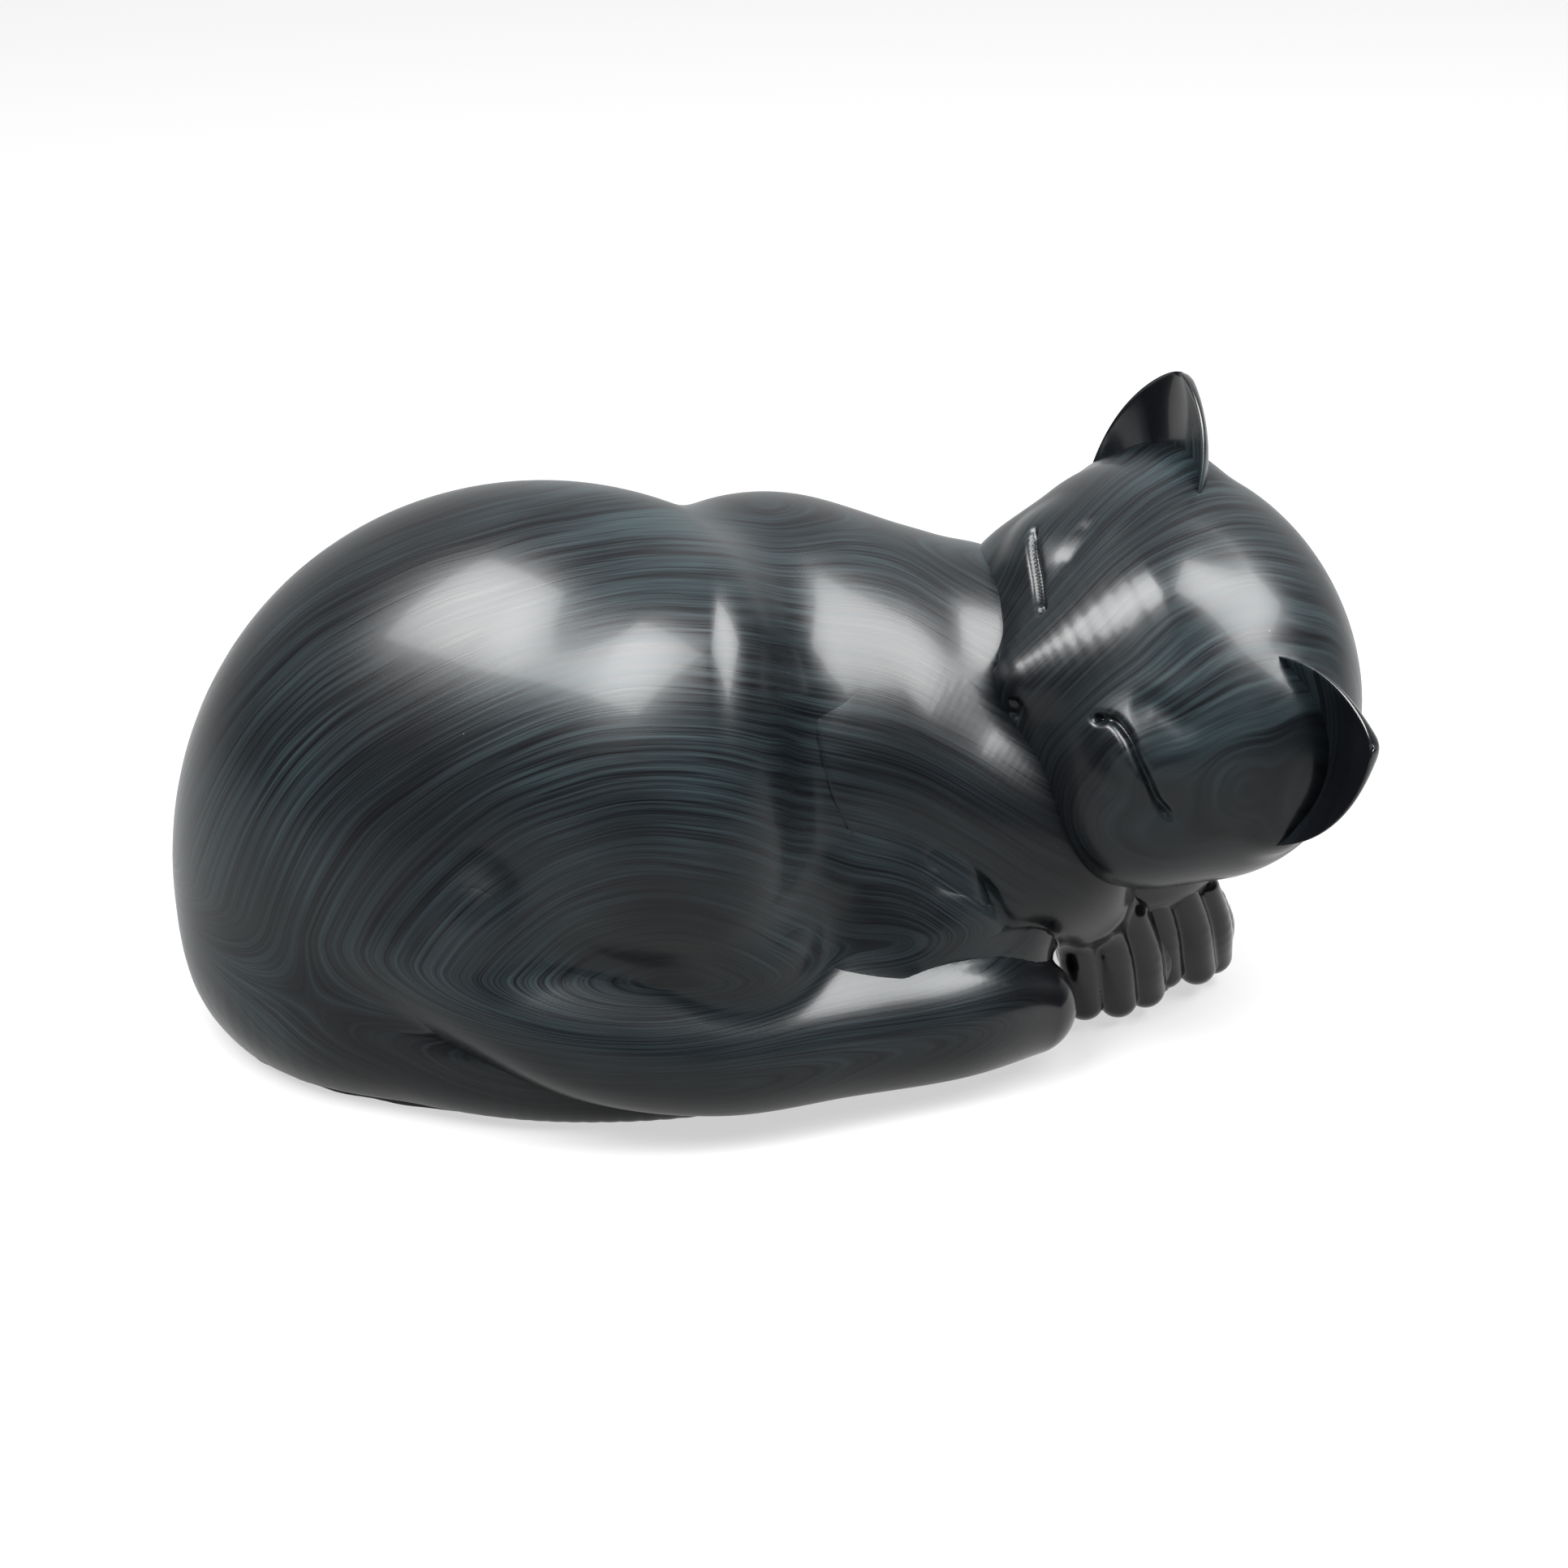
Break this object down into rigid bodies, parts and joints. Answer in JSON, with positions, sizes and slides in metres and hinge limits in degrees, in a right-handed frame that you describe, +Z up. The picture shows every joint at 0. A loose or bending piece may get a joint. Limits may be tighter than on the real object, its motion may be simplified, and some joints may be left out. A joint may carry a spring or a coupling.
{
  "type": "sleeping cat figurine",
  "caption": "Hollow glazed-ceramic figure of a cat asleep, curled up with its chin on its forepaws, on a felt base.",
  "frame": {"origin": "middle of the footprint, on the surface the felt rests on", "axes": "+X from the rump towards the head, +Y towards the cat's spine side (away from its feet), +Z up"},
  "size_m": [0.2255, 0.1108, 0.1231],
  "materials": {
    "black_glaze": "satin black glaze with fine blue-grey brushed streaks",
    "felt": "dense black wool felt"
  },
  "bodies": {
    "root": {"body_shell": "black_glaze", "head_shell": "black_glaze", "left_ear": "black_glaze", "right_ear": "black_glaze", "right_foreleg": "black_glaze", "left_forepaw": "black_glaze", "right_hind_leg": "black_glaze", "tail": "black_glaze", "felt_pad": "felt"}
  },
  "joints": []
}
